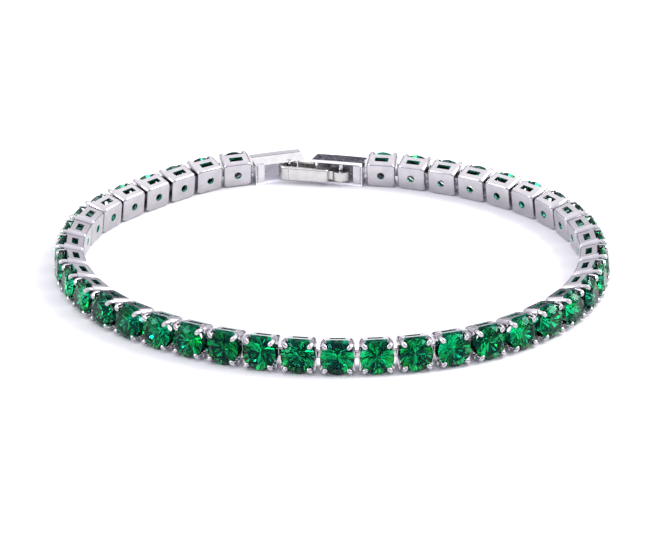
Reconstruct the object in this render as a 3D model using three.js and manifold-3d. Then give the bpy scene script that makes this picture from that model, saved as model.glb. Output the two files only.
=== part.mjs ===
// Tennis bracelet: round green stones in open box settings, closed by a lobster clasp.
// Millimetres, +Z up. The bracelet lies on its side in a closed loop round the Z axis,
// with the clasp at the back (+Y). Each link has its own frame: X along the chain,
// Y outward through the stone's table, Z along the hinge line.
import * as THREE from 'three';
import { mergeVertices } from 'three/addons/utils/BufferGeometryUtils.js';
import { ConvexGeometry } from 'three/addons/geometries/ConvexGeometry.js';
import Module from 'manifold-3d';

const wasm = await Module();
wasm.setup();

// Chain
const LINK_COUNT = 40;
const LINK_GAP = 0.3;
const CLASP_GAP = 2.0;
const HINGE_DEPTH = 1.2;
const TONGUE_HEIGHT = 0.9;
const TONGUE_THICKNESS = 0.6;
const TONGUE_CLEARANCE = 0.16;
const TONGUE_BITE = 0.25;
const HEAD_LENGTH = 0.4;
const HEAD_OVERHANG = 0.25;

// Stone
const STONE_DIAMETER = 4.0;
const TABLE_DIAMETER = 2.3;
const CROWN_HEIGHT = 0.55;
const GIRDLE_HEIGHT = 0.1;
const PAVILION_DEPTH = 1.72;
const STONE_CLEARANCE = 0.16;
const STONE_SIDES = 16;

// Setting
const RIM_OVERHANG = 0.05;
const SETTING_DEPTH = 2.45;
const SIDE_NARROWING = 0.125;
const WALL_TAPER = THREE.MathUtils.degToRad(7.6);
const WALL_THICKNESS = 0.4;
const BACK_THICKNESS = 0.45;
const FRONT_CORNER = 0.6;
const BACK_CORNER = 0.6;
const BACK_HOLE_DIAMETER = 1.0;
const BACK_RAIL = 0.8;
const WINDOW_WIDTH = 1.8;
const WINDOW_DEPTH = 0.8;
const BORE_SIDES = 8;
const PRONG_WIDTH = 0.55;
const PRONG_OVERLAP = 0.3;
const PRONG_ROOT = 0.5;
const PRONG_INSET = 0.05;
const PRONG_CLEARANCE = 0.11;
const PRONG_RISE = 0.45;
const PRONG_SHOULDER = 0.2;

// End links
const END_LENGTH = 7.2;
const END_GAP = 0.22;
const END_DEPTH = 3.4;
const END_DROP = 0.95;
const END_WALL = 0.4;
const PLATE_THICKNESS = 0.4;
const PLATE_BULGE = 0.2;
const PLATE_STEPS = 6;
const SEAM_WIDTH = 0.15;
const SEAM_DEPTH = 0.12;
const INNER_PANEL_LENGTH = 1.3;
const INNER_PANEL_THICKNESS = 0.4;
const POST_DIAMETER = 0.7;
const POST_SIDES = 12;
const POST_SETBACK = 0.85;
const HOOK_POST_INSET = 2.2;
const EYE_POST_INSET = 4.0;

// Lobster clasp
const CLASP_WIDTH = 2.9;
const CLASP_THICKNESS = 1.9;
const CLASP_REST_GAP = 0.12;
const HOOK_WALL = 0.7;
const HOOK_TIP_REACH = 0.9;
const EYE_DIAMETER = 2.5;
const EYE_CLEARANCE = 0.25;
const EYE_THICKNESS = 1.2;
const NECK_WIDTH = 1.5;
const TAIL_START = 1.5;
const TAIL_LENGTH = 2.0;
const TAIL_CORNER = 0.35;
const CURVE_STEPS = 8;

// Lever
const PIVOT_SETBACK = 1.1;
const PIVOT_INSET = 0.5;
const PIVOT_DIAMETER = 0.5;
const PIVOT_CLEARANCE = 0.12;
const PIVOT_SIDES = 12;
const LEVER_THICKNESS = 1.4;
const LEVER_ROOT_THICKNESS = 0.75;
const LEVER_SLOT_CLEARANCE = 0.13;
const LEVER_SWING_ROOM = 0.35;
const LEVER_ARM_WIDTH = 0.5;
const LEVER_TIP_GAP = 0.15;
const LEVER_TIP_SLANT = 0.2;
const LEVER_SHOULDER_GAP = 0.3;
const THUMB_LENGTH = 0.9;
const THUMB_RISE = 0.35;

// The loop's hinge line, clockwise from above, through a few points chosen by hand.
// It starts at the middle of the clasp, and its size follows the chain's own length.
const LOOP_POINTS = [
  [-2.85, 29.4],
  [-2.1, 28.75],
  [4.8, 27.05],
  [9.2, 26.25],
  [21.2, 20.2],
  [29.9, 10.3],
  [32.4, -2.5],
  [28.8, -15.1],
  [19.6, -24.3],
  [7.1, -28.4],
  [-6.0, -27.7],
  [-18.1, -22.5],
  [-27.7, -13.6],
  [-32.3, -1.3],
  [-30.3, 11.6],
  [-22.0, 21.4],
  [-14.7, 26.9],
  [-10.4, 28.1],
  [-3.6, 30.1],
];
const LOOP_SAMPLES = 1200;

// Sizes that follow from the ones above
const stoneRadius = STONE_DIAMETER / 2;
const tableRadius = TABLE_DIAMETER / 2;
const settingWidth = STONE_DIAMETER + 2 * RIM_OVERHANG;
const settingHeight = STONE_DIAMETER + 2 * RIM_OVERHANG;
const linkPitch = settingWidth + LINK_GAP;
const taperSlope = Math.tan(WALL_TAPER);
const backY = -HINGE_DEPTH;
const rimY = backY + SETTING_DEPTH;
const backHalfWidth = settingWidth / 2 - SIDE_NARROWING;
const backHalfHeight = settingHeight / 2 - SETTING_DEPTH * taperSlope;
const hingeHalfHeight = backHalfHeight + HINGE_DEPTH * taperSlope;
const hingeHeight = hingeHalfHeight * Math.cos(WALL_TAPER);
const boreRadius = settingWidth / 2 - WALL_THICKNESS;
const stoneSeat = PAVILION_DEPTH * (1 - (boreRadius - STONE_CLEARANCE) / stoneRadius);
const girdleY = rimY + stoneSeat;
const crownY = girdleY + GIRDLE_HEIGHT;
const endHeight = settingHeight - END_DROP;
const endFrontY = backY + END_DEPTH;
const postY = -POST_SETBACK;
const postRadius = POST_DIAMETER / 2;
const claspHeight = END_WALL + CLASP_REST_GAP + CLASP_THICKNESS / 2;
const claspSpan = 2 * END_LENGTH + CLASP_GAP;
const loopLength = LINK_COUNT * linkPitch + claspSpan;

// Materials
const silver = new THREE.MeshStandardMaterial({ color: 0xd4d3d8, roughness: 0.18, metalness: 1 });
const satin = new THREE.MeshStandardMaterial({ color: 0xc9c8cc, roughness: 0.3, metalness: 1 });
const emerald = new THREE.MeshStandardMaterial({ color: 0x007a48, roughness: 0.05, metalness: 0 });

// Turns a closed three.js geometry into a solid that can be cut and joined.
function solidOf(geometry) {
  const bare = geometry.clone();
  bare.deleteAttribute('normal');
  bare.deleteAttribute('uv');
  const merged = mergeVertices(bare, 1e-5);
  return new wasm.Manifold(new wasm.Mesh({
    numProp: 3,
    vertProperties: new Float32Array(merged.attributes.position.array),
    triVerts: new Uint32Array(merged.index.array),
  }));
}

// Turns a solid back into a three.js geometry.
function geometryOf(solid) {
  const mesh = solid.getMesh();
  const geometry = new THREE.BufferGeometry();
  geometry.setAttribute('position', new THREE.BufferAttribute(mesh.vertProperties, 3));
  geometry.setIndex(new THREE.BufferAttribute(mesh.triVerts, 1));
  return geometry;
}

// A block between two corners, given as [low, high] along each axis.
function block([x0, x1], [y0, y1], [z0, z1]) {
  const geometry = new THREE.BoxGeometry(Math.abs(x1 - x0), y1 - y0, z1 - z0);
  return geometry.translate((x0 + x1) / 2, (y0 + y1) / 2, (z0 + z1) / 2);
}

// A plan outline in X and Y raised from z0 to z1.
function slab(points, z0, z1) {
  const shape = new THREE.Shape(points.map(([x, y]) => new THREE.Vector2(x, y)));
  return new THREE.ExtrudeGeometry(shape, { depth: z1 - z0, bevelEnabled: false }).translate(0, 0, z0);
}

// An upright rod with a flat side facing each axis.
function rod(radius, z0, z1, sides, x = 0, y = 0) {
  const geometry = new THREE.CylinderGeometry(radius, radius, z1 - z0, sides);
  return geometry.rotateX(Math.PI / 2).translate(x, y, (z0 + z1) / 2);
}

// Points on an arc, both ends included.
function arc(x, y, radius, from, to, steps) {
  return Array.from({ length: steps + 1 }, (unused, i) => {
    const angle = THREE.MathUtils.degToRad(from + ((to - from) * i) / steps);
    return [x + radius * Math.cos(angle), y + radius * Math.sin(angle)];
  });
}

// A ring of points round the Y axis at one height of the stone.
function ring(radius, y, sides) {
  return Array.from({ length: sides }, (unused, i) => {
    const angle = (2 * Math.PI * i) / sides;
    return new THREE.Vector3(radius * Math.cos(angle), y, radius * Math.sin(angle));
  });
}

// A round brilliant: table, sloping crown, thin girdle and a pavilion that ends in a point.
function stone() {
  return new ConvexGeometry([
    ...ring(tableRadius, crownY + CROWN_HEIGHT, STONE_SIDES / 2),
    ...ring(stoneRadius, crownY, STONE_SIDES),
    ...ring(stoneRadius, girdleY, STONE_SIDES),
    new THREE.Vector3(0, girdleY - PAVILION_DEPTH, 0),
  ]);
}

// One cross-section of the box: a rectangle with its corners cut.
function boxSection(halfWidth, halfHeight, corner, y) {
  const across = [[halfWidth, halfHeight - corner], [halfWidth - corner, halfHeight]];
  return [1, -1].flatMap((sx) => [1, -1].flatMap((sz) =>
    across.map(([x, z]) => new THREE.Vector3(sx * x, y, sz * z))));
}

// A prong on one corner: it grows out of the corner's chamfer and bends over the stone.
function prong(quarter) {
  const chamferRadius = (settingWidth / 2 + settingHeight / 2 - FRONT_CORNER) / Math.SQRT2;
  const outer = chamferRadius - PRONG_INSET;
  const inner = stoneRadius + PRONG_CLEARANCE;
  const tip = stoneRadius - PRONG_OVERLAP;
  const crownSlope = CROWN_HEIGHT / (stoneRadius - tableRadius);
  const profile = [
    [inner, rimY - PRONG_ROOT],
    [outer, rimY],
    [outer, crownY + PRONG_SHOULDER],
    [tip, crownY + PRONG_RISE],
    [tip, crownY + PRONG_CLEARANCE + PRONG_OVERLAP * crownSlope],
    [inner, crownY + PRONG_CLEARANCE],
  ];
  return slab(profile, -PRONG_WIDTH / 2, PRONG_WIDTH / 2)
    .rotateY(-Math.PI / 4 - (quarter * Math.PI) / 2);
}

// The open box that holds one stone: tapered walls, a window through its top and bottom,
// a solid back plate with a hole, and four prongs.
function setting() {
  const shell = solidOf(new ConvexGeometry([
    ...boxSection(backHalfWidth, backHalfHeight, BACK_CORNER, backY),
    ...boxSection(settingWidth / 2, settingHeight / 2, FRONT_CORNER, rimY),
  ]));
  const boreDepth = SETTING_DEPTH - BACK_THICKNESS + 1;
  const boreCircle = boreRadius / Math.cos(Math.PI / BORE_SIDES);
  const bore = new THREE.CylinderGeometry(boreCircle, boreCircle, boreDepth, BORE_SIDES)
    .rotateY(Math.PI / BORE_SIDES)
    .translate(0, backY + BACK_THICKNESS + boreDepth / 2, 0);
  const holeRadius = BACK_HOLE_DIAMETER / 2;
  const hole = new THREE.CylinderGeometry(holeRadius, holeRadius, SETTING_DEPTH, BORE_SIDES)
    .rotateY(Math.PI / BORE_SIDES)
    .translate(0, backY, 0);
  const windowY = backY + BACK_RAIL;
  const window = block(
    [-WINDOW_WIDTH / 2, WINDOW_WIDTH / 2],
    [windowY, windowY + WINDOW_DEPTH],
    [-settingHeight, settingHeight],
  );
  const cup = [bore, hole, window].reduce((body, cut) => body.subtract(solidOf(cut)), shell);
  return [0, 1, 2, 3].reduce((body, quarter) => body.add(solidOf(prong(quarter))), cup);
}

// The loop's hinge line at its real length, as a function of the way along it.
function hingeLine() {
  const chosen = LOOP_POINTS.map(([x, y]) => new THREE.Vector3(x, y, 0));
  const drawn = new THREE.CatmullRomCurve3(chosen, true, 'centripetal');
  drawn.arcLengthDivisions = LOOP_SAMPLES;
  const scale = loopLength / drawn.getLength();
  return (distance) => {
    const share = THREE.MathUtils.euclideanModulo(distance / loopLength, 1);
    return drawn.getPointAt(share).multiplyScalar(scale);
  };
}

// A frame at point, its X axis towards next, with Y outward and Z up, tilted about X.
function frameAt(point, from, to, tilt = 0) {
  const along = to.clone().sub(from).normalize();
  const up = new THREE.Vector3(0, 0, 1);
  const outward = up.clone().cross(along);
  return new THREE.Matrix4().makeBasis(along, outward, up)
    .setPosition(point)
    .multiply(new THREE.Matrix4().makeRotationX(tilt));
}

const pointAlong = hingeLine();
const chainStart = CLASP_GAP / 2 + END_LENGTH;
const hinges = Array.from({ length: LINK_COUNT + 1 }, (unused, i) => {
  const hinge = pointAlong(chainStart + i * linkPitch);
  return hinge.setZ(hingeHeight);
});
const linkFrames = Array.from({ length: LINK_COUNT }, (unused, i) => {
  const middle = hinges[i].clone().add(hinges[i + 1]).divideScalar(2);
  return frameAt(middle, hinges[i], hinges[i + 1], WALL_TAPER);
});
const rightFree = pointAlong(CLASP_GAP / 2);
const leftFree = pointAlong(loopLength - CLASP_GAP / 2);
const flat = (point) => point.clone().setZ(0);
const rightFrame = frameAt(flat(hinges[0]), rightFree, flat(hinges[0]));
const leftFrame = frameAt(flat(hinges[LINK_COUNT]), flat(hinges[LINK_COUNT]), leftFree);

// The tongue that joins two links, lying across the gap between them.
function tongue() {
  const reach = LINK_GAP / 2 + SIDE_NARROWING / 2 + TONGUE_BITE;
  return block(
    [-reach, reach],
    [-TONGUE_THICKNESS / 2, TONGUE_THICKNESS / 2],
    [-TONGUE_HEIGHT / 2, TONGUE_HEIGHT / 2],
  );
}

// A tongue that hangs on by its head: side is +1 where the wall it goes through lies
// towards +X, and -1 towards -X. The head sits past that wall.
function headedTongue(side, wallEnd) {
  const headStart = wallEnd + TONGUE_CLEARANCE;
  const headEnd = headStart + HEAD_LENGTH;
  const rootEnd = LINK_GAP / 2 + SIDE_NARROWING / 2 + TONGUE_BITE;
  const span = (low, high) => [low * side, high * side].sort((a, b) => a - b);
  const thickness = [-TONGUE_THICKNESS / 2, TONGUE_THICKNESS / 2];
  const headHalf = TONGUE_HEIGHT / 2 + HEAD_OVERHANG;
  const stemHeight = [-TONGUE_HEIGHT / 2, TONGUE_HEIGHT / 2];
  const stem = solidOf(block(span(-rootEnd, headEnd), thickness, stemHeight));
  return stem.add(solidOf(block(span(headStart, headEnd), thickness, [-headHalf, headHalf])));
}

// The slot that a headed tongue passes through.
function tongueSlot(reach) {
  const halfHeight = TONGUE_HEIGHT / 2 + TONGUE_CLEARANCE;
  const halfThickness = TONGUE_THICKNESS / 2 + TONGUE_CLEARANCE;
  return block([-reach, reach], [-halfThickness, halfThickness], [-halfHeight, halfHeight]);
}

// The frame of the hinge between two neighbouring links.
function hingeFrame(index) {
  const before = linkFrames[index - 1];
  const after = linkFrames[index];
  const from = new THREE.Vector3().setFromMatrixPosition(before);
  const to = new THREE.Vector3().setFromMatrixPosition(after);
  return frameAt(hinges[index], from, to, WALL_TAPER);
}

// A run of settings joined into one body, from one link up to another.
function chainRun(first, last) {
  const box = geometryOf(setting());
  let body = solidOf(box.clone().applyMatrix4(linkFrames[first]));
  for (let i = first + 1; i <= last; i += 1) {
    body = body.add(solidOf(tongue().applyMatrix4(hingeFrame(i))));
    body = body.add(solidOf(box.clone().applyMatrix4(linkFrames[i])));
  }
  return body;
}

const middleLink = LINK_COUNT / 2;
const placed = (solid, matrix) => solidOf(geometryOf(solid).applyMatrix4(matrix));
const raised = (frame) => frame.clone().multiply(new THREE.Matrix4().makeTranslation(0, 0, hingeHeight));
const endWallReach = END_GAP + END_WALL;
const linkWallReach = linkPitch / 2 - boreRadius;

// The right half of the chain, with a headed tongue at each end of it.
function rightChain() {
  const run = chainRun(0, middleLink - 1);
  const toEnd = placed(headedTongue(-1, endWallReach), raised(rightFrame));
  const toLeft = placed(headedTongue(1, linkWallReach), linkEndFrame(middleLink));
  return run.add(toEnd).add(toLeft);
}

// The frame of a link moved to the hinge at its start.
function linkEndFrame(index) {
  return linkFrames[index].clone().multiply(new THREE.Matrix4().makeTranslation(-linkPitch / 2, 0, 0));
}

// The left half of the chain: its first link takes the right half's tongue.
function leftChain() {
  const run = chainRun(middleLink, LINK_COUNT - 1);
  const slot = tongueSlot(linkWallReach + TONGUE_CLEARANCE).applyMatrix4(linkEndFrame(middleLink));
  const toEnd = placed(headedTongue(1, endWallReach), raised(leftFrame));
  return run.subtract(solidOf(slot)).add(toEnd);
}

// An end link: a bulged outer plate on a channel that is open towards the wrist, with a
// closed end at the chain, a short inner panel beside it and a post for the clasp.
// side is +1 where its free end lies towards +X.
function endLink(side, postInset) {
  const x = (value) => value * side;
  const span = (low, high) => [x(low), x(high)].sort((a, b) => a - b);
  const bulge = Array.from({ length: PLATE_STEPS + 1 }, (unused, i) => {
    const share = i / PLATE_STEPS;
    const rise = 4 * PLATE_BULGE * share * (1 - share);
    return [x(END_LENGTH + (END_GAP - END_LENGTH) * share), endFrontY + rise];
  });
  const outline = [[x(END_GAP), backY], [x(END_LENGTH), backY], ...bulge];
  const roomY = endFrontY - PLATE_THICKNESS;
  const room = block(
    span(END_GAP + END_WALL, 2 * END_LENGTH),
    [backY - END_DEPTH, roomY],
    [END_WALL, endHeight - END_WALL],
  );
  const seams = [[-SEAM_DEPTH, SEAM_DEPTH], [endHeight - SEAM_DEPTH, endHeight + SEAM_DEPTH]].map((z) =>
    block(span(0, 2 * END_LENGTH), [roomY - SEAM_WIDTH, roomY], z));
  const slot = tongueSlot(END_GAP + END_WALL + TONGUE_CLEARANCE).translate(0, 0, hingeHeight);
  const panel = block(
    span(END_GAP, END_GAP + INNER_PANEL_LENGTH),
    [backY, backY + INNER_PANEL_THICKNESS],
    [END_WALL / 2, endHeight - END_WALL / 2],
  );
  const postX = x(END_LENGTH - postInset);
  const post = rod(postRadius, END_WALL / 2, endHeight - END_WALL / 2, POST_SIDES, postX, postY);
  const channel = [room, ...seams, slot].reduce(
    (body, cut) => body.subtract(solidOf(cut)),
    solidOf(slab(outline, 0, endHeight)),
  );
  return channel.add(solidOf(panel)).add(solidOf(post));
}

// Where the two posts stand, and the clasp's frame between them: X from the eye towards
// the hook, Y outward.
const eyePost = new THREE.Vector3(EYE_POST_INSET - END_LENGTH, postY, claspHeight)
  .applyMatrix4(rightFrame);
const hookPost = new THREE.Vector3(END_LENGTH - HOOK_POST_INSET, postY, claspHeight)
  .applyMatrix4(leftFrame);
const claspReach = eyePost.distanceTo(hookPost);
const claspFrame = frameAt(eyePost, hookPost, eyePost)
  .multiply(new THREE.Matrix4().makeRotationY(Math.PI));

const claspHalf = CLASP_WIDTH / 2;
const pocketRadius = claspHalf - HOOK_WALL;
const tailEnd = TAIL_START + TAIL_LENGTH;
const tipX = claspReach - HOOK_TIP_REACH;
const pivotX = TAIL_START + PIVOT_SETBACK;
const pivotY = claspHalf - PIVOT_INSET;

// The clasp's body: a flat eye and neck, a tail that holds the lever's pin in a slot, a
// straight spine on the wrist's side and a hook that closes round the post.
function claspBody() {
  const halfThickness = CLASP_THICKNESS / 2;
  const outline = [
    [TAIL_START, -claspHalf + TAIL_CORNER],
    [TAIL_START + TAIL_CORNER, -claspHalf],
    ...arc(claspReach, 0, claspHalf, -90, 90, CURVE_STEPS),
    [tipX + LEVER_TIP_SLANT, claspHalf],
    [tipX, pocketRadius],
    ...arc(claspReach, 0, pocketRadius, 90, -90, CURVE_STEPS),
    [tailEnd, -pocketRadius],
    [tailEnd, claspHalf - TAIL_CORNER],
    [tailEnd - TAIL_CORNER, claspHalf],
    [TAIL_START + TAIL_CORNER, claspHalf],
    [TAIL_START, claspHalf - TAIL_CORNER],
  ];
  const slotHalf = LEVER_ROOT_THICKNESS / 2 + LEVER_SLOT_CLEARANCE;
  const slot = block(
    [pivotX - PIVOT_INSET - LEVER_SLOT_CLEARANCE, tailEnd + TAIL_LENGTH],
    [pivotY - PIVOT_INSET - LEVER_SWING_ROOM, claspHalf + TAIL_LENGTH],
    [-slotHalf, slotHalf],
  );
  const pin = rod(PIVOT_DIAMETER / 2, -halfThickness + TAIL_CORNER / 2, halfThickness - TAIL_CORNER / 2,
    PIVOT_SIDES, pivotX, pivotY);
  const eyeHalf = EYE_THICKNESS / 2;
  const eye = rod(EYE_DIAMETER / 2, -eyeHalf, eyeHalf, POST_SIDES);
  const neck = block([0, TAIL_START + TAIL_CORNER], [-NECK_WIDTH / 2, NECK_WIDTH / 2], [-eyeHalf, eyeHalf]);
  const eyeHole = rod(postRadius + EYE_CLEARANCE, -CLASP_THICKNESS, CLASP_THICKNESS, POST_SIDES);
  const ringAndNeck = solidOf(eye).add(solidOf(neck)).subtract(solidOf(eyeHole));
  return solidOf(slab(outline, -halfThickness, halfThickness))
    .subtract(solidOf(slot))
    .add(solidOf(pin))
    .add(ringAndNeck);
}

// The lever, round its own pivot: a thin root with a bore, a wider arm up to the hook's
// tip and a thumb knob on its outer side.
function claspLever() {
  const rootHalf = LEVER_ROOT_THICKNESS / 2;
  const armHalf = LEVER_THICKNESS / 2;
  const innerY = pocketRadius - pivotY;
  const outerY = innerY + LEVER_ARM_WIDTH;
  const tip = tipX - LEVER_TIP_GAP - pivotX;
  const armStart = tailEnd + LEVER_SHOULDER_GAP - pivotX;
  const rootRadius = PIVOT_INSET;
  const root = solidOf(slab([
    ...arc(0, 0, rootRadius, 90, 270, CURVE_STEPS),
    [armStart, innerY],
    [armStart + LEVER_ARM_WIDTH, innerY],
    [armStart + LEVER_ARM_WIDTH, outerY],
    [armStart, rootRadius],
  ], -rootHalf, rootHalf));
  const arm = solidOf(slab([
    [armStart, innerY],
    [tip, innerY],
    [tip + LEVER_TIP_SLANT * (LEVER_ARM_WIDTH / HOOK_WALL), outerY],
    [armStart + THUMB_LENGTH, outerY],
    [armStart + THUMB_LENGTH * 0.75, outerY + THUMB_RISE],
    [armStart + THUMB_LENGTH * 0.35, outerY + THUMB_RISE],
    [armStart, outerY],
  ], -armHalf, armHalf));
  const bore = rod(PIVOT_DIAMETER / 2 + PIVOT_CLEARANCE, -CLASP_THICKNESS, CLASP_THICKNESS, PIVOT_SIDES);
  return root.add(arm).subtract(solidOf(bore));
}

// One named mesh, placed by a frame.
function piece(name, geometry, material, frame) {
  const mesh = new THREE.Mesh(geometry, material);
  mesh.name = name;
  mesh.applyMatrix4(frame);
  return mesh;
}

const here = new THREE.Matrix4();
const bracelet = new THREE.Group();
const cutStone = stone();
linkFrames.forEach((frame, i) => {
  bracelet.add(piece(`stone_${String(i + 1).padStart(2, '0')}`, cutStone, emerald, frame));
});
bracelet.add(piece('chain_right', geometryOf(rightChain()), silver, here));
bracelet.add(piece('chain_left', geometryOf(leftChain()), silver, here));
bracelet.add(piece('end_link_right', geometryOf(endLink(-1, EYE_POST_INSET)), silver, rightFrame));
bracelet.add(piece('end_link_left', geometryOf(endLink(1, HOOK_POST_INSET)), silver, leftFrame));
bracelet.add(piece('clasp_body', geometryOf(claspBody()), satin, claspFrame));
const leverFrame = claspFrame.clone().multiply(new THREE.Matrix4().makeTranslation(pivotX, pivotY, 0));
bracelet.add(piece('clasp_lever', geometryOf(claspLever()), satin, leverFrame));

// The origin is the middle of the underside of the whole bracelet.
const extent = new THREE.Box3().setFromObject(bracelet, true);
const middle = extent.getCenter(new THREE.Vector3());
bracelet.position.set(-middle.x, -middle.y, -extent.min.z);

export default bracelet;
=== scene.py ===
"""Looks of the tennis bracelet: brilliant-cut green stones, polished box settings, end links and clasp.

Lengths are in millimetres while a shape is built, and become metres when it is placed. The floor and the
lights are in metres.
"""
import math

import bmesh
import bpy
import numpy as np
from mathutils import Matrix, Vector


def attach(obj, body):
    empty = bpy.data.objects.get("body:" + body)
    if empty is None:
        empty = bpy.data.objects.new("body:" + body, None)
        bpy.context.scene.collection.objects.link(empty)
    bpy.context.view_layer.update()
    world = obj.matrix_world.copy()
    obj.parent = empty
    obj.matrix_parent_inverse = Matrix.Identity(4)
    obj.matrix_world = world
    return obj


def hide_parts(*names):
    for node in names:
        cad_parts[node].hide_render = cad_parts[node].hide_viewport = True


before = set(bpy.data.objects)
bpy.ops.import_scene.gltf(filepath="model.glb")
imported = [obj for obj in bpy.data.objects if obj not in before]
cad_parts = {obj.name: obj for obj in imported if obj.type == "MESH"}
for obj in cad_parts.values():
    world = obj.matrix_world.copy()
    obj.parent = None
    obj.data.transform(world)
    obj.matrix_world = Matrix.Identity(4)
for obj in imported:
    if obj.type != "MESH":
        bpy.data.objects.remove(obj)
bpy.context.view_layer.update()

MM = 0.001
UP = Vector((0, 0, 1))
ALONG_X = Matrix.Rotation(math.pi / 2, 4, "Y")
ALONG_Y = Matrix.Rotation(-math.pi / 2, 4, "X")

# Sizes shared with the solids
LINK_COUNT = 40
LINK_GAP = 0.3
HINGE_DEPTH = 1.2
STONE_DIAMETER = 4.0
TABLE_DIAMETER = 2.3
CROWN_HEIGHT = 0.55
GIRDLE_HEIGHT = 0.1
PAVILION_DEPTH = 1.72
STONE_CLEARANCE = 0.16
RIM_OVERHANG = 0.05
SETTING_DEPTH = 2.45
SIDE_NARROWING = 0.125
WALL_TAPER = math.radians(7.6)
WALL_THICKNESS = 0.4
BACK_THICKNESS = 0.45
BACK_HOLE_DIAMETER = 1.0
BACK_RAIL = 0.8
WINDOW_WIDTH = 1.8
WINDOW_DEPTH = 0.8
FRONT_ROUNDING = 0.6
PRONG_ROOT = 0.5
TONGUE_HEIGHT = 0.9
TONGUE_THICKNESS = 0.6
TONGUE_BITE = 0.25
END_LENGTH = 7.2
END_GAP = 0.22
END_DEPTH = 3.4
END_DROP = 0.95
END_WALL = 0.4
PLATE_THICKNESS = 0.4
PLATE_BULGE = 0.2
SEAM_WIDTH = 0.15
INNER_PANEL_LENGTH = 1.3
INNER_PANEL_THICKNESS = 0.4
POST_DIAMETER = 0.7
POST_SETBACK = 0.85
HOOK_POST_INSET = 2.2
EYE_POST_INSET = 4.0
CLASP_WIDTH = 2.9
CLASP_THICKNESS = 1.9
CLASP_REST_GAP = 0.12
HOOK_WALL = 0.7
HOOK_TIP_REACH = 0.9
EYE_DIAMETER = 2.5
EYE_CLEARANCE = 0.25
EYE_THICKNESS = 1.2
NECK_WIDTH = 1.5
TAIL_START = 1.5
TAIL_LENGTH = 2.0
TAIL_CORNER = 0.35
PIVOT_SETBACK = 1.1
PIVOT_INSET = 0.5
PIVOT_DIAMETER = 0.5
PIVOT_CLEARANCE = 0.12
LEVER_ROOT_THICKNESS = 0.75
LEVER_SLOT_CLEARANCE = 0.13
LEVER_SWING_ROOM = 0.35
LEVER_ARM_WIDTH = 0.5
LEVER_TIP_GAP = 0.15
LEVER_TIP_SLANT = 0.2
LEVER_SHOULDER_GAP = 0.3
THUMB_LENGTH = 0.9
THUMB_RISE = 0.35

# Sizes of the stones' looks: main facets round the stone, and shares of its radius and of its girdle
MAINS = 8
LOWER_HALVES_REACH = 0.22
GIRDLE_WAVE = 0.3

# Sizes of the settings' looks
BACK_ROUNDING = 0.5
BACK_EDGE = 0.3
BACK_EDGE_STEPS = 5
CORNER_STEPS = 5
RIM_DIP = 0.22
RIM_DIP_WIDTH = 2.5
SIDE_SCOOP_RADIUS = 1.35
SIDE_SCOOP_DEPTH = 0.85
BORE_SIDES = 48
HOLE_SIDES = 32
PRONG_WIDTH = 0.56
PRONG_THICKNESS = 0.19
PRONG_OVERLAP = 0.35
PRONG_CLEARANCE = 0.03
CLAW_SIDES = 16
CLAW_ROUNDING = 0.75
CLAW_INSET = 0.03
CLAW_ROOT_LEAN = 0.05
CLAW_BEND_START = 0.1
CLAW_BEND_HEIGHT = 0.12
CLAW_BEND_INSET = 0.03
CLAW_BEND_WIDTH = 1.03
# Each row: share of the way from root to tip, distances outward and down, share of the claw's width
CLAW_OVER = (
    (0.3, 0.02, 0.05, 1.05),
    (0.75, 0.0, 0.0, 1.0),
    (1.0, -0.02, 0.02, 0.9),
    (1.0, -0.13, 0.05, 0.62),
    (1.0, -0.19, 0.07, 0.25),
)

# Sizes of the end links' looks: the right one's top is dark and higher, the left one's plate has an edge
LEFT_TURN = math.radians(16)
RIGHT_TURN = math.radians(-14)
EDGE_BAND = 0.3
TOP_SLOPE = math.radians(9)
TOP_EDGE = 0.08
DARK_LIFT = 0.25
DARK_ROOM_LIFT = 0.1
DARK_ROOF = 0.15
PLATE_EDGE = 0.65
PLATE_SLOPE = math.radians(4)
BULGE_STEPS = 24
SEAM_DEPTH = 0.2

# Sizes of the clasp's looks
HOOK_STEPS = 32
PIVOT_STEPS = 16
GROOVE_START = 0.42
GROOVE_END = 0.2
GROOVE_DEPTH = 0.2
SWELL_LENGTH = 2.0
TAIL_SHARE = 0.94
HOOK_SWELL = 0.16
SPINE_SWELL = 0.12
SPINE_MARGIN = 0.1
PIN_INSET = 0.02
ARM_INSET = 0.05
# The thumb rest's outline, in shares of its length and rise
THUMB_OUTLINE = ((1, 0), (0.82, 0.8), (0.66, 1), (0.42, 1), (0.2, 0.75), (0, 0))

# How far a cutting tool reaches past a surface, and how near vertices are merged
OVERSHOOT = 1.0
MERGE_DISTANCE = 0.0005

# Margins that tell the inner faces of a box and of an end link from their outer ones
WALL_MARGIN = 0.01
BORE_MARGIN = 0.02
BACK_MARGIN = 0.1
TIP_MARGIN = 0.1

stone_radius = STONE_DIAMETER / 2
table_radius = TABLE_DIAMETER / 2
crown_slope = CROWN_HEIGHT / (stone_radius - table_radius)
setting_width = STONE_DIAMETER + 2 * RIM_OVERHANG
link_pitch = setting_width + LINK_GAP
back_y = -HINGE_DEPTH
rim_y = back_y + SETTING_DEPTH
back_half_width = setting_width / 2 - SIDE_NARROWING
back_half_height = setting_width / 2 - SETTING_DEPTH * math.tan(WALL_TAPER)
bore_radius = setting_width / 2 - WALL_THICKNESS
girdle_y = rim_y + PAVILION_DEPTH * (1 - (bore_radius - STONE_CLEARANCE) / stone_radius)
crown_y = girdle_y + GIRDLE_HEIGHT
table_y = crown_y + CROWN_HEIGHT
end_height = setting_width - END_DROP
end_front_y = back_y + END_DEPTH
room_y = end_front_y - PLATE_THICKNESS
post_y = -POST_SETBACK
clasp_height = END_WALL + CLASP_REST_GAP + CLASP_THICKNESS / 2


# Places, read from the solids
def points_of(node):
    """A node's vertices in millimetres."""
    return np.array([tuple(v.co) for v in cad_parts[node].data.vertices]) / MM


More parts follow.
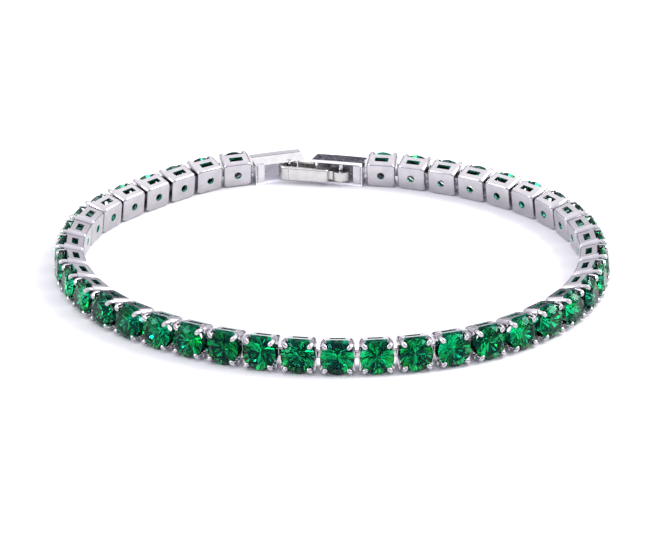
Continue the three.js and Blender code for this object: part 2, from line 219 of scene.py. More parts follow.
def basis(along, outward, up, origin):
    """A placement matrix from three axes and an origin."""
    return Matrix((
        (along.x, outward.x, up.x, origin.x),
        (along.y, outward.y, up.y, origin.y),
        (along.z, outward.z, up.z, origin.z),
        (0, 0, 0, 1)))


def link_frame(node):
    """A link's own frame, from its stone: X along the chain, Y outward, Z up."""
    points = points_of(node)
    centre = points.mean(axis=0)
    axes = np.linalg.eigh(np.cov((points - centre).T))[1]
    axis = axes[:, 0]
    reach = (points - centre) @ axis
    if reach.max() > -reach.min():
        axis, reach = -axis, -reach
    outward = Vector(axis)
    culet = Vector(points[reach.argmin()])
    along = outward.cross(UP).normalized()
    up = along.cross(outward)
    return basis(along, outward, up, culet - outward * (girdle_y - PAVILION_DEPTH))


def end_frame(node, turn, side):
    """An end link's frame, from the straight wrist-side edge of its solid and its rough turn about Z.

    The link reaches from its hinge along X where side is 1, and against X where it is -1.
    """
    points = points_of(node)
    along = np.array([math.cos(turn), math.sin(turn)])
    across = np.array([-along[1], along[0]])
    depth = points[:, :2] @ across
    edge = points[depth < depth.min() + EDGE_BAND][:, :2]
    way = edge @ along
    low, high = edge[way.argmin()], edge[way.argmax()]
    along = Vector((*(high - low), 0)).normalized()
    outward = UP.cross(along)
    root = Vector((*(low if side > 0 else high), 0))
    return basis(along, outward, UP, root - outward * back_y - along * (side * END_GAP))


link_frames = [link_frame(f"stone_{i + 1:02d}") for i in range(LINK_COUNT)]
left_frame = end_frame("end_link_left", LEFT_TURN, 1)
right_frame = end_frame("end_link_right", RIGHT_TURN, -1)
eye_post = right_frame @ Vector((EYE_POST_INSET - END_LENGTH, post_y, clasp_height))
hook_post = left_frame @ Vector((END_LENGTH - HOOK_POST_INSET, post_y, clasp_height))
clasp_reach = (hook_post - eye_post).length
clasp_along = (hook_post - eye_post).normalized()
clasp_frame = basis(clasp_along, clasp_along.cross(UP), -UP, eye_post)


# Shapes
def added(name, data):
    """A new object in the scene."""
    ob = bpy.data.objects.new(name, data)
    bpy.context.scene.collection.objects.link(ob)
    return ob


def mesh_of(bm):
    """A mesh from a bmesh, which is freed."""
    bmesh.ops.recalc_face_normals(bm, faces=bm.faces)
    mesh = bpy.data.meshes.new("shape")
    bm.to_mesh(mesh)
    bm.free()
    return mesh


def loft(sections):
    """A closed form through sections of equal point count."""
    bm = bmesh.new()
    rings = [[bm.verts.new(p) for p in ring] for ring in sections]
    count = len(rings[0])
    for a, b in zip(rings, rings[1:]):
        for i in range(count):
            j = (i + 1) % count
            bm.faces.new((a[i], a[j], b[j], b[i]))
    bm.faces.new(rings[0])
    bm.faces.new(rings[-1])
    return mesh_of(bm)


def slab(outline, low, high):
    """A plan outline in X and Y raised from low to high."""
    return loft([[(x, y, z) for x, y in outline] for z in (low, high)])


def block(xs, ys, zs):
    """A block between two corners."""
    x0, x1 = sorted(xs)
    y0, y1 = sorted(ys)
    return slab([(x0, y0), (x1, y0), (x1, y1), (x0, y1)], *zs)


def arc(x, y, radius, start, end, steps):
    """Points on an arc, both ends included, in degrees."""
    angles = [math.radians(start + (end - start) * i / steps) for i in range(steps + 1)]
    return [(x + radius * math.cos(a), y + radius * math.sin(a)) for a in angles]


def rod(radius, low, high, x=0.0, y=0.0, sides=40):
    """An upright rod."""
    return slab(arc(x, y, radius, 0, 360 * (sides - 1) / sides, sides - 1), low, high)


def moved(mesh, matrix):
    """A mesh moved by a matrix."""
    mesh.transform(matrix)
    return mesh


def worked(mesh, cuts=(), joins=(), bevel=0.0, segments=3, angle=28):
    """A mesh with other meshes joined to it or cut from it, and its edges rounded."""
    ob = added("work", mesh)
    helpers = []
    for operation, others in (("UNION", joins), ("DIFFERENCE", cuts)):
        for other in others:
            helpers.append(added("tool", other))
            shape = ob.modifiers.new("shape", "BOOLEAN")
            shape.operation = operation
            shape.object = helpers[-1]
            shape.solver = "EXACT"
    if bevel:
        rounding = ob.modifiers.new("round", "BEVEL")
        rounding.width = bevel
        rounding.segments = segments
        rounding.limit_method = "ANGLE"
        rounding.angle_limit = math.radians(angle)
        rounding.use_clamp_overlap = True
        rounding.miter_outer = "MITER_ARC"
    bpy.context.view_layer.update()
    result = bpy.data.meshes.new_from_object(ob.evaluated_get(bpy.context.evaluated_depsgraph_get()))
    for used in [ob, *helpers]:
        bpy.data.objects.remove(used)
    bm = bmesh.new()
    bm.from_mesh(result)
    bmesh.ops.remove_doubles(bm, verts=bm.verts, dist=MERGE_DISTANCE)
    bmesh.ops.dissolve_degenerate(bm, dist=MERGE_DISTANCE, edges=bm.edges)
    bm.to_mesh(result)
    bm.free()
    return result


# The stone
def brilliant():
    """A round brilliant: table, stars, kites, girdle, pavilion mains and their halves."""
    bm = bmesh.new()
    turn = 2 * math.pi / MAINS
    apothem = math.cos(turn / 2)
    edge_count = 4 * MAINS

    def corner(radius, angle, y):
        return bm.verts.new((radius * math.cos(angle), y, radius * math.sin(angle)))

    def girdle_ring(y, wave):
        return [corner(stone_radius, i * turn / 4, y + (wave if i % 2 else 0)) for i in range(edge_count)]

    star_radius = (table_radius * apothem + stone_radius) / 2
    star_y = table_y - (star_radius * apothem - table_radius) * crown_slope
    low_radius = stone_radius * LOWER_HALVES_REACH
    low_y = girdle_y - PAVILION_DEPTH * (1 - low_radius * apothem / stone_radius)
    wave = GIRDLE_HEIGHT * GIRDLE_WAVE
    table = [corner(table_radius, i * turn, table_y) for i in range(MAINS)]
    stars = [corner(star_radius, (i + 0.5) * turn, star_y) for i in range(MAINS)]
    upper = girdle_ring(crown_y, -wave)
    lower = girdle_ring(girdle_y, wave)
    lows = [corner(low_radius, (i + 0.5) * turn, low_y) for i in range(MAINS)]
    culet = corner(0, 0, girdle_y - PAVILION_DEPTH)
    bm.faces.new(table)
    for i in range(MAINS):
        j = (i + 1) % MAINS
        here, half, following = 4 * i, 4 * i + 2, (4 * i + 4) % edge_count
        bm.faces.new((table[i], table[j], stars[i]))
        bm.faces.new((table[j], stars[j], upper[following], stars[i]))
        bm.faces.new((lows[i], culet, lows[j], lower[following])).material_index = 1
        for ring, tip, side in ((upper, stars[i], 0), (lower, lows[i], 1)):
            bm.faces.new((tip, ring[here], ring[here + 1], ring[half])).material_index = side
            bm.faces.new((tip, ring[half], ring[half + 1], ring[following])).material_index = side
    for i in range(edge_count):
        j = (i + 1) % edge_count
        bm.faces.new((upper[i], upper[j], lower[j], lower[i]))
    return mesh_of(bm)


# The setting
def section(half_width, half_height, corner, y):
    """A rounded rectangle, across X and Z at one depth."""
    points = []
    for sx, sz, start in ((1, 1, 0), (-1, 1, 90), (-1, -1, 180), (1, -1, 270)):
        middle = (sx * (half_width - corner), sz * (half_height - corner))
        points += [(x, y, z) for x, z in arc(*middle, corner, start, start + 90, CORNER_STEPS)]
    return points


def box_form():
    """The box before it is hollowed, from its rounded back edge to its rim."""
    sections = []
    for step in range(BACK_EDGE_STEPS, -1, -1):
        turn = math.pi * step / (2 * BACK_EDGE_STEPS)
        inset = BACK_EDGE * (1 - math.cos(turn))
        sections.append(section(back_half_width - inset, back_half_height - inset, BACK_ROUNDING,
                                back_y + BACK_EDGE * (1 - math.sin(turn))))
    sections.append(section(setting_width / 2, setting_width / 2, FRONT_ROUNDING, rim_y))
    return loft(sections)


def drill(radius, low, high, direction, y, sides=BORE_SIDES):
    """A round cutting tool along a direction, at one depth."""
    return moved(moved(rod(radius, low, high, sides=sides), direction), Matrix.Translation((0, y, 0)))


def cutter(width, low, high):
    """A cutting block through the box from side to side, between two depths."""
    return block((-width / 2, width / 2), (low, high), (-setting_width, setting_width))


def box():
    """The open box: its bore, back hole, side windows, rim dips and side scoops."""
    window_y = back_y + BACK_RAIL
    cuts = [
        drill(bore_radius, 0, SETTING_DEPTH - BACK_THICKNESS + OVERSHOOT, ALONG_Y, back_y + BACK_THICKNESS),
        drill(BACK_HOLE_DIAMETER / 2, -OVERSHOOT, OVERSHOOT, ALONG_Y, back_y, HOLE_SIDES),
        cutter(WINDOW_WIDTH, window_y, window_y + WINDOW_DEPTH),
        cutter(RIM_DIP_WIDTH, rim_y - RIM_DIP, rim_y + OVERSHOOT),
        drill(SIDE_SCOOP_RADIUS, -setting_width, setting_width, ALONG_X,
              rim_y - SIDE_SCOOP_DEPTH + SIDE_SCOOP_RADIUS),
    ]
    mesh = worked(worked(box_form(), cuts=cuts), bevel=0.04, segments=2, angle=32)
    # Faces inside the bore get the second material, whose green is a painted reflection of the stone's
    # light.
    for face in mesh.polygons:
        from_axis = math.hypot(face.center.x, face.center.z)
        if from_axis < bore_radius + BORE_MARGIN and face.center.y > back_y + BACK_MARGIN:
            face.material_index = 1
    return mesh


def claw_path():
    """A claw's path: distances from the stone's axis, depths, and shares of the claw's full width."""
    corner = (setting_width / 2 - CLAW_ROUNDING) * math.sqrt(2) + CLAW_ROUNDING
    root = corner - PRONG_THICKNESS - CLAW_INSET
    tip = stone_radius - PRONG_OVERLAP + PRONG_THICKNESS
    tip_y = crown_y + (stone_radius - tip) * crown_slope + PRONG_CLEARANCE + PRONG_THICKNESS
    return [
        (root - CLAW_ROOT_LEAN, rim_y - PRONG_ROOT, 1.0),
        (root, rim_y, 1.0),
        (root, crown_y - CLAW_BEND_START, 1.0),
        (root - CLAW_BEND_INSET, crown_y + CLAW_BEND_HEIGHT, CLAW_BEND_WIDTH),
        *((root * (1 - way) + tip * way + out, tip_y - drop, width) for way, out, drop, width in CLAW_OVER),
    ]


def claw(quarter):
    """A claw that rises from a corner of the box and bends over the stone's edge to a round tip."""
    path = claw_path()
    sections = []
    for i, (distance, y, width) in enumerate(path):
        before, after = path[max(i - 1, 0)], path[min(i + 1, len(path) - 1)]
        way = Vector((after[0] - before[0], after[1] - before[1])).normalized()
        ring = []
        for k in range(CLAW_SIDES):
            turn = 2 * math.pi * k / CLAW_SIDES
            out = PRONG_THICKNESS * width * math.cos(turn)
            aside = PRONG_WIDTH / 2 * width * math.sin(turn)
            ring.append((distance + way.y * out, y - way.x * out, aside))
        sections.append(ring)
    return moved(loft(sections), Matrix.Rotation(-math.pi / 4 - quarter * math.pi / 2, 4, "Y"))


def tongue():
    """The short bar between two links."""
    reach = LINK_GAP / 2 + SIDE_NARROWING / 2 + TONGUE_BITE
    bar = block((-reach, reach), (-TONGUE_THICKNESS / 2, TONGUE_THICKNESS / 2),
                (-TONGUE_HEIGHT / 2, TONGUE_HEIGHT / 2))
    return worked(bar, bevel=0.1, segments=3)


# The end links
def end_outline(side):
    """An end link's plan: straight on the wrist side, bulged outside."""
    bulge = []
    for i in range(BULGE_STEPS + 1):
        share = i / BULGE_STEPS
        bulge.append((side * (END_LENGTH + (END_GAP - END_LENGTH) * share),
                      end_front_y + 4 * PLATE_BULGE * share * (1 - share)))
    return [(side * END_GAP, back_y), (side * END_LENGTH, back_y), *bulge]


def planer(line_y, reach, top, slope):
    """A cutting tool that lets a top fall by a slope, from a line at one depth over a signed reach."""
    tool = block((-2 * END_LENGTH, 2 * END_LENGTH), (0, reach), (0, OVERSHOOT))
    return moved(tool, Matrix.Translation((0, line_y, top)) @ Matrix.Rotation(-slope, 4, "X"))


def end_cuts(side, dark, top):
    """What is cut from an end link: its room, the plate's two seams and the slopes of its top."""
    room_xs = (side * (END_GAP + END_WALL), side * 2 * END_LENGTH)
    room_top = end_height - END_WALL + (DARK_ROOM_LIFT if dark else 0)
    seam_y = room_y - (0 if dark else PLATE_EDGE)
    span = room_y - back_y
    cuts = [block(room_xs, (back_y - END_DEPTH, room_y), (END_WALL, room_top))]
    for z in (0, top):
        cuts.append(block((0, side * 2 * END_LENGTH), (seam_y - SEAM_WIDTH, seam_y),
                          (z - SEAM_DEPTH, z + SEAM_DEPTH)))
    if dark:
        cuts.append(block(room_xs, (back_y - END_DEPTH, back_y + OVERSHOOT),
                          (END_WALL, end_height - DARK_ROOF)))
        cuts.append(planer(back_y + TOP_EDGE, 2 * span, top, TOP_SLOPE))
    else:
        cuts.append(planer(seam_y - SEAM_WIDTH, -2 * span, top, -TOP_SLOPE))
        cuts.append(planer(seam_y, END_DEPTH, top, PLATE_SLOPE))
    return cuts


def in_room(point):
    """Whether a point of an end link lies on the walls of its room."""
    lengthwise = END_GAP + END_WALL - WALL_MARGIN < abs(point.x) < END_LENGTH - TIP_MARGIN
    upright = END_WALL - WALL_MARGIN < point.z < end_height - END_WALL + WALL_MARGIN
    return lengthwise and upright and point.y < room_y + WALL_MARGIN


def end_link(side, post_inset, dark):
    """A hollow end link with a bulged outer plate, an inner panel and a post."""
    top = end_height + (DARK_LIFT if dark else 0)
    shell = worked(slab(end_outline(side), 0, top), cuts=end_cuts(side, dark, top), bevel=0.07, segments=3,
                   angle=5)
    # The room's walls get the second material, whose near white paints their bright reflection of the lit
    # floor.
    for face in shell.polygons:
        if in_room(face.center):
            face.material_index = 1
    low, high = END_WALL / 2, end_height - END_WALL / 2
    panel = block((side * END_GAP, side * (END_GAP + INNER_PANEL_LENGTH)),
                  (back_y, back_y + INNER_PANEL_THICKNESS), (low, high))
    post = rod(POST_DIAMETER / 2, low, high, side * (END_LENGTH - post_inset), post_y)
    return [shell, worked(panel, bevel=0.08), post]


# The clasp
clasp_half = CLASP_WIDTH / 2
pocket_radius = clasp_half - HOOK_WALL
tail_end = TAIL_START + TAIL_LENGTH
tip_x = clasp_reach - HOOK_TIP_REACH
pivot_x = TAIL_START + PIVOT_SETBACK
pivot_y = clasp_half - PIVOT_INSET
swell_start = clasp_reach - SWELL_LENGTH


def clasp_outline():
    """The body's plan: tail, spine and hook, with its mouth open."""
    return [
        (TAIL_START, -clasp_half + TAIL_CORNER),
        (TAIL_START + TAIL_CORNER, -clasp_half),
        *arc(clasp_reach, 0, clasp_half, -90, 90, HOOK_STEPS),
        (tip_x + LEVER_TIP_SLANT, clasp_half),
        (tip_x, pocket_radius),
        *arc(clasp_reach, 0, pocket_radius, 90, -90, HOOK_STEPS),
        (tail_end, -pocket_radius),
        (tail_end, clasp_half - TAIL_CORNER),
        (tail_end - TAIL_CORNER, clasp_half),
        (TAIL_START + TAIL_CORNER, clasp_half),
        (TAIL_START, clasp_half - TAIL_CORNER),
    ]


def swell(body):
    """The body's growth from its tail to its hook, in thickness and at the spine."""
    for vertex in body.vertices:
        share = min(max((vertex.co.x - swell_start) / (clasp_reach + clasp_half - swell_start), 0), 1)
        eased = share * share * (3 - 2 * share)
        vertex.co.z *= TAIL_SHARE + HOOK_SWELL * eased
        if vertex.co.y < -pocket_radius - SPINE_MARGIN:
            vertex.co.y -= SPINE_SWELL * eased


def clasp_shell():
    """The body itself, with the lever's slot and a groove over the spine."""
    half = CLASP_THICKNESS / 2
    slot_half = LEVER_ROOT_THICKNESS / 2 + LEVER_SLOT_CLEARANCE
    slot = block((pivot_x - PIVOT_INSET - LEVER_SLOT_CLEARANCE, tail_end + TAIL_LENGTH),
                 (pivot_y - PIVOT_INSET - LEVER_SWING_ROOM, clasp_half + TAIL_LENGTH),
                 (-slot_half, slot_half))
    groove = block((clasp_reach - GROOVE_START, clasp_reach - GROOVE_END),
                   (-clasp_half - OVERSHOOT, -clasp_half + GROOVE_DEPTH), (-2 * half, 2 * half))
    body = worked(slab(clasp_outline(), -half, half), cuts=[slot], bevel=0.26, segments=5, angle=30)
    body = worked(body, cuts=[groove])
    swell(body)
    return body


def clasp_eye():
    """The eye round the right end link's post, with the neck that joins it to the tail."""
    half = EYE_THICKNESS / 2
    neck = block((0, TAIL_START + TAIL_CORNER), (-NECK_WIDTH / 2, NECK_WIDTH / 2), (-half, half))
    hole = rod(POST_DIAMETER / 2 + EYE_CLEARANCE, -CLASP_THICKNESS, CLASP_THICKNESS)
    disc = rod(EYE_DIAMETER / 2, -half, half)
    return worked(disc, joins=[neck], cuts=[hole], bevel=0.14, segments=4, angle=30)


def clasp_pin():
    """The pin that the lever turns on."""
    half = CLASP_THICKNESS / 2 - PIN_INSET
    return worked(rod(PIVOT_DIAMETER / 2, -half, half, pivot_x, pivot_y), bevel=0.05, segments=2)


def clasp_lever():
    """The lever, round its own pivot."""
    root_half = LEVER_ROOT_THICKNESS / 2
    arm_half = CLASP_THICKNESS / 2 - ARM_INSET
    inner_y = pocket_radius - pivot_y
    outer_y = inner_y + LEVER_ARM_WIDTH
    tip = tip_x - LEVER_TIP_GAP - pivot_x
    start = tail_end + LEVER_SHOULDER_GAP - pivot_x
    root = slab([
        *arc(0, 0, PIVOT_INSET, 90, 270, PIVOT_STEPS),
        (start, inner_y),
        (start + LEVER_ARM_WIDTH, inner_y),
        (start + LEVER_ARM_WIDTH, outer_y),
        (start, PIVOT_INSET),
    ], -root_half, root_half)
    arm = slab([
        (start, inner_y),
        (tip, inner_y),
        (tip + LEVER_TIP_SLANT * (LEVER_ARM_WIDTH / HOOK_WALL), outer_y),
        *((start + THUMB_LENGTH * x, outer_y + THUMB_RISE * y) for x, y in THUMB_OUTLINE),
    ], -arm_half, arm_half)
    bore = rod(PIVOT_DIAMETER / 2 + PIVOT_CLEARANCE, -CLASP_THICKNESS, CLASP_THICKNESS)
    return [worked(root, cuts=[bore], bevel=0.05, segments=2), worked(arm, bevel=0.12, segments=3)]


# Nodes of the materials and the sky
NOISE_SPAN = (0.3, 0.7)
TINT_SPAN = (0.35, 0.65)
TINT_DETAIL = 3
WAVE_SCALE = 700
WAVE_DETAIL = 4
WAVE_STRENGTH = 0.12
WAVE_HEIGHT = 0.00001
FACET_STEP = 0.02


def wired(tree, node, links, values):
    """A node with links from other nodes' outputs to its inputs, and with values on its inputs."""
    for key, output in links.items():
        tree.links.new(output, node.inputs[key])
    for key, value in values.items():
        node.inputs[key].default_value = value
    return node


def new_node(tree, kind, links=None, values=None, operation=None):
    """A new node with its links and values."""
    node = tree.nodes.new(kind)
    if operation:
        node.operation = operation
    return wired(tree, node, links or {}, values or {})


def ramp(tree, factor, stops):
    """A colour that follows a factor through stops of position and colour."""
    node = new_node(tree, "ShaderNodeValToRGB", {"Fac": factor})
    elements = node.color_ramp.elements
    while len(elements) < len(stops):
        elements.new(0.5)
    for element, (position, colour) in zip(elements, stops):
        element.position = position
        element.color = (*colour, 1)
    return node.outputs["Color"]


def noise(tree, scale, detail, stretch=(1, 1, 1)):
    """Noise in object space, stretched along the axes whose share is small."""
    place = new_node(tree, "ShaderNodeTexCoord").outputs["Object"]
    mapping = new_node(tree, "ShaderNodeMapping", {"Vector": place}, {"Scale": stretch})
    texture = new_node(tree, "ShaderNodeTexNoise", {"Vector": mapping.outputs["Vector"]},
                       {"Scale": scale, "Detail": detail})
    return texture.outputs["Fac"]


def varied(tree, scale, detail, low, high):
    """A value that varies with noise between two limits."""
    node = new_node(tree, "ShaderNodeMapRange", {"Value": noise(tree, scale, detail)},
                    {"From Min": NOISE_SPAN[0], "From Max": NOISE_SPAN[1], "To Min": low, "To Max": high})
    return node.outputs["Result"]


def tinted(tree, scale, dark, light, stretch=(1, 1, 1)):
    """A colour that varies with noise between two colours."""
    return ramp(tree, noise(tree, scale, TINT_DETAIL, stretch), list(zip(TINT_SPAN, (dark, light))))


def waves(tree):
    """A faint unevenness of a polished surface."""
    node = new_node(tree, "ShaderNodeBump", {"Height": noise(tree, WAVE_SCALE, WAVE_DETAIL)},
                    {"Strength": WAVE_STRENGTH, "Distance": WAVE_HEIGHT})
    return node.outputs["Normal"]


def facet_colours(tree, stops):
    """A colour that changes from facet to facet, chosen by each facet's own direction."""
    facet = new_node(tree, "ShaderNodeNewGeometry")
    steps = new_node(tree, "ShaderNodeVectorMath", {0: facet.outputs["True Normal"]}, {1: [FACET_STEP] * 3},
                     operation="SNAP")
    chance = new_node(tree, "ShaderNodeTexWhiteNoise", {"Vector": steps.outputs["Vector"]})
    return ramp(tree, chance.outputs["Value"], stops)


def from_outside(tree):
    """One on a face seen from outside the stone, and zero on one seen from inside it."""
    facing = new_node(tree, "ShaderNodeNewGeometry")
    node = new_node(tree, "ShaderNodeMath", {1: facing.outputs["Backfacing"]}, {0: 1.0},
                    operation="SUBTRACT")
    return node.outputs["Value"]


# Materials
PLATING_TINT_SCALE = 900
PLATING_GRAIN_SCALE = 2200
PLATING_GRAIN_DETAIL = 5
# The lever's darker brownish streaks are painted shade.
LEVER_STREAK_SCALE = 3000
LEVER_STREAK_STRETCH = (1, 1, 0.06)
PAPER_SCALE = 30
CLEAR_DARK = (0.02, 0.46, 0.35)
CLEAR_LIGHT = (0.06, 0.68, 0.45)
# Where chance puts a pavilion facet, from nearly black over green to turquoise and bright green: painted
# dark facets and painted green flashes
PAVILION_PAINTED_LIGHT_STOPS = [
    (0.0, (0.0, 0.02, 0.02)),
    (0.32, (0.0, 0.06, 0.06)),
    (0.37, (0.04, 0.38, 0.06)),
    (0.48, (0.06, 0.55, 0.08)),
    (0.53, (0.0, 0.6, 0.44)),
    (0.67, (0.02, 0.9, 0.55)),
    (1.0, (0.12, 1.0, 0.5)),
]


def new_material(name):
    """A new material with its node tree and its shader."""
    material = bpy.data.materials.new(name)
    material.use_nodes = True
    tree = material.node_tree
    return material, tree, tree.nodes["Principled BSDF"]


def metal(name, dark, light, smooth, rough, share=1.0):
    """White metal that varies between two colours and two roughnesses, matt where its share is lower."""
    material, tree, shader = new_material(name)
    wired(tree, shader, {
        "Base Color": tinted(tree, PLATING_TINT_SCALE, dark, light),
        "Roughness": varied(tree, PLATING_GRAIN_SCALE, PLATING_GRAIN_DETAIL, smooth, rough),
        "Normal": waves(tree),
    }, {"Metallic": share})
    return material


def shaded_lever_metal():
    """The lever's metal, brownish grey and darker than the clasp, with streaks: painted shade on the
    clasp's top.
    """
    material, tree, shader = new_material("lever_painted_shade")
    wired(tree, shader, {
        "Base Color": tinted(tree, LEVER_STREAK_SCALE, (0.34, 0.31, 0.28), (0.6, 0.57, 0.53), LEVER_STREAK_STRETCH),
        "Roughness": varied(tree, PLATING_GRAIN_SCALE, PLATING_GRAIN_DETAIL, 0.25, 0.4),
    }, {"Metallic": 1.0})
    return material


def stone_crown():
    """Clear green stone, seen through the table and the crown."""
    material, tree, shader = new_material("emerald_crown")
    wired(tree, shader, {
        "Base Color": facet_colours(tree, [(0.0, CLEAR_DARK), (1.0, CLEAR_LIGHT)]),
        "Roughness": varied(tree, scale=4000, detail=2, low=0.0, high=0.02),
    }, {"Transmission Weight": 1.0, "IOR": 1.9, "Specular Tint": (0.03, 0.22, 0.18, 1)})
    return material


def stone_pavilion():
    """The green stone's back facets, which throw the light back, with colours that paint dark facets and
    bright flashes; seen from outside, a dark tinted coat paints the shade inside the stone.
    """
    material, tree, shader = new_material("emerald_pavilion")
    wired(tree, shader, {
        "Base Color": facet_colours(tree, PAVILION_PAINTED_LIGHT_STOPS),
        "Roughness": varied(tree, scale=3000, detail=3, low=0.02, high=0.08),
        # Seen from outside, the dark tinted coat paints the shade inside the stone.
        "Coat Weight": from_outside(tree),
    }, {"Metallic": 1.0, "Coat Tint": (0.09, 0.18, 0.2, 1), "Coat IOR": 1.3, "Coat Roughness": 0.35})
    return material


def white_paper():
    """The floor's white paper, with a little light of its own."""
    material, tree, shader = new_material("white_paper")
    wired(tree, shader, {
        "Base Color": tinted(tree, PAPER_SCALE, (0.63, 0.63, 0.645), (0.65, 0.65, 0.66)),
    }, {
        "Roughness": 0.9, "Specular IOR Level": 0.1, "Emission Color": (0.8, 0.83, 1.0, 1),
        "Emission Strength": 0.06})
    return material


bright = metal("bright_plating", (0.47, 0.455, 0.48), (0.53, 0.515, 0.54), smooth=0.1, rough=0.2)
# Painted light: a nearly white, lilac, mostly unmetallic copy of the plating for the end links' inner
# walls, painting their bright reflection of the lit floor.
inside = metal("inner_plating_painted_bright", (0.93, 0.915, 0.99), (0.98, 0.965, 1.0), smooth=0.25, rough=0.35,
               share=0.2)
# Painted reflection: the cups' inner faces, seen through the side windows and back holes, are green to
# paint the stone's green light thrown onto them.
painted_cup_reflection = metal("cup_painted_stone_reflection", (0.05, 0.4, 0.28), (0.09, 0.52, 0.37), smooth=0.25, rough=0.35)
sunlit = metal("sunlit_plating", (0.56, 0.55, 0.565), (0.62, 0.61, 0.625), smooth=0.1, rough=0.2)
satin = metal("clasp_plating", (0.5, 0.495, 0.48), (0.57, 0.565, 0.545), smooth=0.16, rough=0.28)
green = [stone_crown(), stone_pavilion()]

# The pieces
FLAT_FACE_WEIGHT = 80


def piece(name, parts, nodes, body, materials, smooth=35):
    """One piece of the scene, joined from placed meshes, standing for its CAD nodes.

    Faces that meet at fewer degrees than smooth are shaded as one surface.
    """
    bm = bmesh.new()
    for shape, matrix in parts:
        copy = moved(shape.copy(), Matrix.Scale(MM, 4) @ matrix)
        bm.from_mesh(copy)
        bpy.data.meshes.remove(copy)
    mesh = bpy.data.meshes.new(name)
    bm.to_mesh(mesh)
    bm.free()
    ob = added(name, mesh)
    if smooth:
        mesh.shade_smooth()
        mesh.set_sharp_from_angle(angle=math.radians(smooth))
        weights = ob.modifiers.new("flat_faces", "WEIGHTED_NORMAL")
        weights.keep_sharp = True
        weights.weight = FLAT_FACE_WEIGHT
    for material in materials:
        mesh.materials.append(material)
    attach(ob, body)
    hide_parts(*nodes)


def placed(parts, place):
    """Meshes, each with the same place."""
    return [(part, place) for part in parts]


gem = brilliant()
box_parts = [box(), *(claw(quarter) for quarter in range(4))]
bar = tongue()
for i, place in enumerate(link_frames):
    number = f"{i + 1:02d}"
    piece(f"gem_{number}", placed([gem], place), [f"stone_{number}"], "bracelet", green,
          smooth=0)

half_count = LINK_COUNT // 2
hinges = [place @ Matrix.Translation((-link_pitch / 2, 0, 0)) for place in link_frames]
hinges.append(link_frames[-1] @ Matrix.Translation((link_pitch / 2, 0, 0)))
for name, half in (("right", slice(0, half_count)), ("left", slice(half_count, None))):
    parts = [(part, place) for place in link_frames[half] for part in box_parts]
    parts += [(bar, place) for place in hinges[half]]
    piece(f"settings_{name}", parts, [f"chain_{name}"], "bracelet", [bright, painted_cup_reflection])

piece("end_plate_left", placed(end_link(1, HOOK_POST_INSET, dark=False), left_frame),
      ["end_link_left"], "bracelet", [sunlit, inside])
piece("end_plate_right", placed(end_link(-1, EYE_POST_INSET, dark=True), right_frame),
      ["end_link_right"], "bracelet", [bright, inside])
piece("clasp_hook", placed([clasp_shell(), clasp_pin(), clasp_eye()], clasp_frame),
      ["clasp_body"], "bracelet", [satin])
lever_frame = clasp_frame @ Matrix.Translation((pivot_x, pivot_y, 0))
piece("clasp_catch", placed(clasp_lever(), lever_frame),
      ["clasp_lever"], "lever", [shaded_lever_metal()])

# The floor
FLOOR_REACH = 3
floor_mesh = bpy.data.meshes.new("floor")
floor_corners = [(x * FLOOR_REACH, y * FLOOR_REACH, 0) for x, y in ((-1, -1), (1, -1), (1, 1), (-1, 1))]
floor_mesh.from_pydata(floor_corners, [], [(0, 1, 2, 3)])
floor_mesh.materials.append(white_paper())
floor = added("floor", floor_mesh)

# The camera: where it looks from, and the photo's width and focal length in its own pixels
ELEVATION = math.radians(24.43)
ROLL = math.radians(-0.85)
FOCAL_PIXELS = 2770
IMAGE_WIDTH = 652
SENSOR_WIDTH = 36
DISTANCE = 346.9
AIM = Vector((-0.63, -1.16, 0))
level_x = Vector((1, 0, 0))
level_y = Vector((0, math.sin(ELEVATION), math.cos(ELEVATION)))
camera_x = level_x * math.cos(ROLL) + level_y * math.sin(ROLL)
camera_y = level_y * math.cos(ROLL) - level_x * math.sin(ROLL)
camera_z = camera_x.cross(camera_y)
camera_data = bpy.data.cameras.new("camera")
camera_data.sensor_width = SENSOR_WIDTH
camera_data.lens = FOCAL_PIXELS / IMAGE_WIDTH * SENSOR_WIDTH
camera_data.clip_start = 0.01
camera_data.clip_end = 20
camera = added("camera", camera_data)
camera.matrix_world = basis(camera_x, camera_y, camera_z, (AIM + camera_z * DISTANCE) * MM)
bpy.context.scene.camera = camera

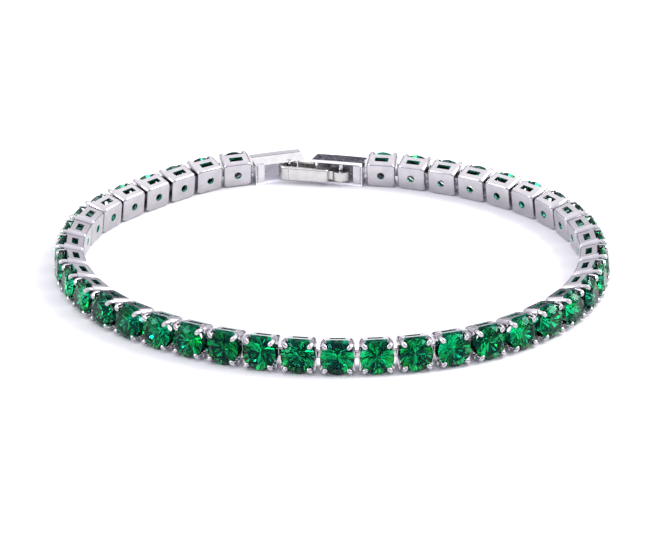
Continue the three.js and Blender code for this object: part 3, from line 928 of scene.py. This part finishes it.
# Light: a grey sky, brighter high up and darker towards the front, with a dark field low at the back
SKY_STRENGTH = 1.65
SKY_BY_HEIGHT = [
    (0.0, (0.45, 0.44, 0.5)),
    (0.2, (0.6, 0.585, 0.64)),
    (0.42, (0.56, 0.545, 0.6)),
    (0.65, (1.0, 0.98, 1.0)),
    (1.0, (0.9, 0.89, 0.96)),
]
SKY_BY_DEPTH = [(0.1, (0.75, 0.75, 0.8)), (0.6, (1.0, 1.0, 1.0))]
DARK_COLOUR = (0.008, 0.012, 0.028, 1)
DARK_BY_DEPTH = [(0.86, (0.0, 0.0, 0.0)), (0.92, (1.0, 1.0, 1.0))]
DARK_BY_HEIGHT = [(0.125, (1.0, 1.0, 1.0)), (0.15, (0.0, 0.0, 0.0))]


def softbox(name, place, size, power, colour):
    """A soft square light, in metres, aimed at the bracelet's middle."""
    data = bpy.data.lights.new(name, "AREA")
    data.shape = "SQUARE"
    data.size = size
    data.energy = power
    data.color = colour
    light = added(name, data)
    light.location = place
    light.rotation_euler = Vector(place).to_track_quat("Z", "Y").to_euler()


def sky_mix(tree, blend, links, values):
    """Two colours of the sky mixed."""
    mix = tree.nodes.new("ShaderNodeMix")
    mix.data_type = "RGBA"
    mix.blend_type = blend
    return wired(tree, mix, links, values).outputs["Result"]


def studio():
    """The sky round the bracelet, which the metal and the stones reflect."""
    world = bpy.data.worlds.new("studio")
    world.use_nodes = True
    bpy.context.scene.world = world
    tree = world.node_tree
    place = new_node(tree, "ShaderNodeTexCoord")
    split = new_node(tree, "ShaderNodeSeparateXYZ", {"Vector": place.outputs["Generated"]})
    height = split.outputs["Z"]
    depth = new_node(tree, "ShaderNodeMath", {0: split.outputs["Y"]}, {1: 0.5, 2: 0.5},
                     operation="MULTIPLY_ADD").outputs["Value"]
    grey = sky_mix(tree, "MULTIPLY", {
        "A": ramp(tree, height, SKY_BY_HEIGHT), "B": ramp(tree, depth, SKY_BY_DEPTH)}, {"Factor": 1.0})
    field = sky_mix(tree, "MULTIPLY", {
        "A": ramp(tree, depth, DARK_BY_DEPTH), "B": ramp(tree, height, DARK_BY_HEIGHT)}, {"Factor": 1.0})
    colour = sky_mix(tree, "MIX", {"Factor": field, "A": grey}, {"B": DARK_COLOUR})
    wired(tree, tree.nodes["Background"], {"Color": colour}, {"Strength": SKY_STRENGTH})


softbox("key", (0.42, 0.08, 0.34), size=0.36, power=4.2, colour=(1.0, 0.98, 0.95))
softbox("side_left", (-0.45, -0.15, 0.3), size=0.25, power=1.5, colour=(1.0, 1.0, 1.0))
studio()
bpy.context.scene.view_settings.view_transform = "Standard"
